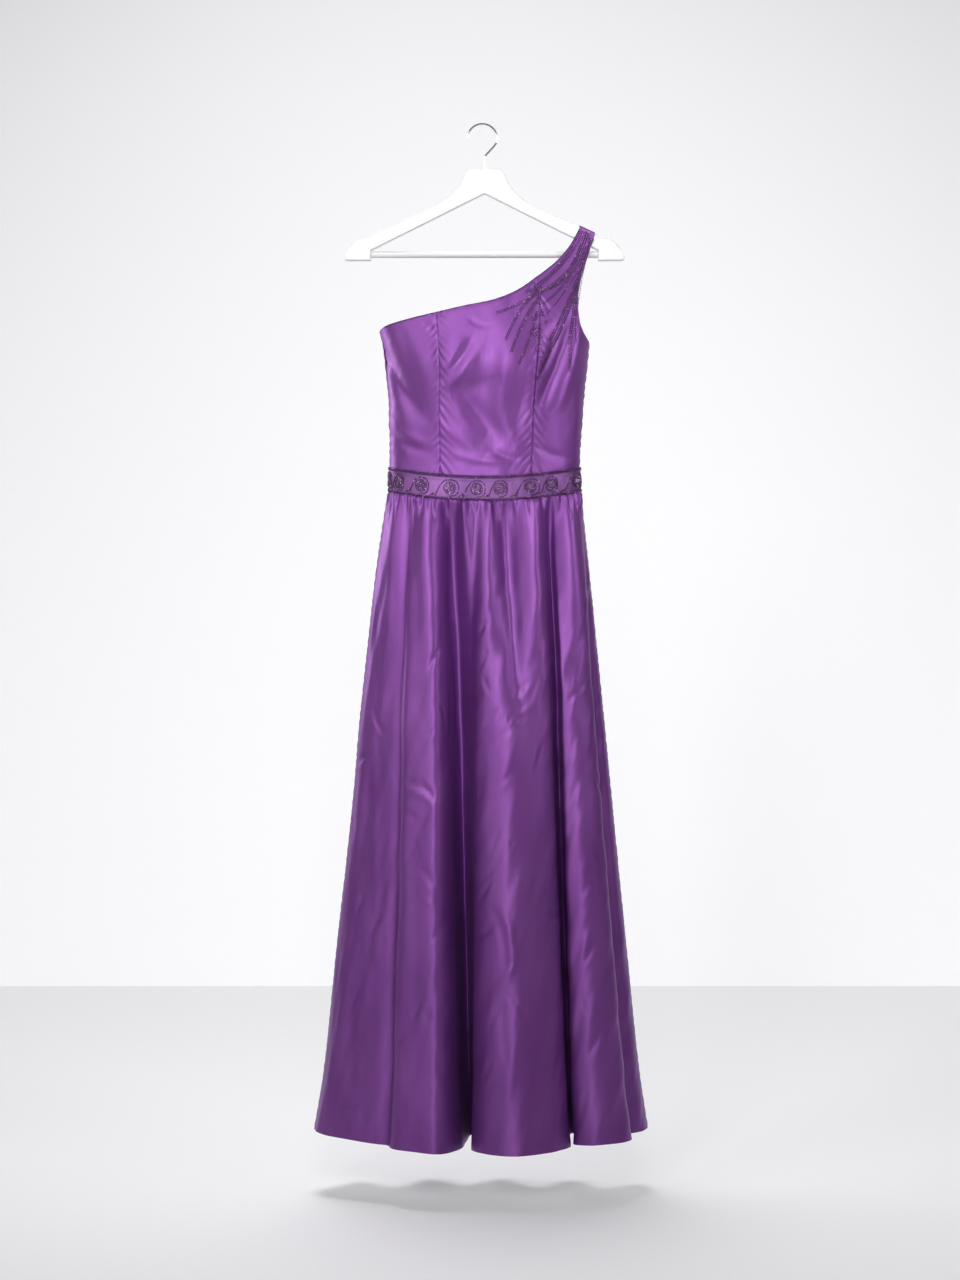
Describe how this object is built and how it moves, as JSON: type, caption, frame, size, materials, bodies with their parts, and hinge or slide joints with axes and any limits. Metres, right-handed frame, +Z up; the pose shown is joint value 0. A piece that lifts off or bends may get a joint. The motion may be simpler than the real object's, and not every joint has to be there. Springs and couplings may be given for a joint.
{
  "type": "one-shoulder party dress on a hanger",
  "caption": "Floor-length one-shoulder satin evening dress with a beaded strap and waistband, a gathered A-line skirt, hanging by its strap on a white hanger with a wire hook.",
  "frame": {"origin": "inner top of the hanger's hook, where a rod carries it", "axes": "+Z up along the hanging dress, -Y out of the front of the dress, +X to the right of someone looking at the front"},
  "size_m": [0.529, 0.253, 1.603],
  "materials": {
    "purple_satin": "smooth satin, soft sheen",
    "beaded_band": "satin with bead embroidery",
    "white_lacquer": "white lacquer, semi-gloss",
    "bright_steel": "polished wire"
  },
  "bodies": {
    "root": {"bodice_front_left": "purple_satin", "bodice_front_centre": "purple_satin", "bodice_front_right": "purple_satin", "bodice_back_left": "purple_satin", "bodice_back_right": "purple_satin", "waistband_front": "beaded_band", "waistband_back": "beaded_band", "skirt_front": "purple_satin", "skirt_back": "purple_satin", "hanger_body": "white_lacquer", "hanger_bar": "white_lacquer", "hanger_hook": "bright_steel"}
  },
  "joints": []
}
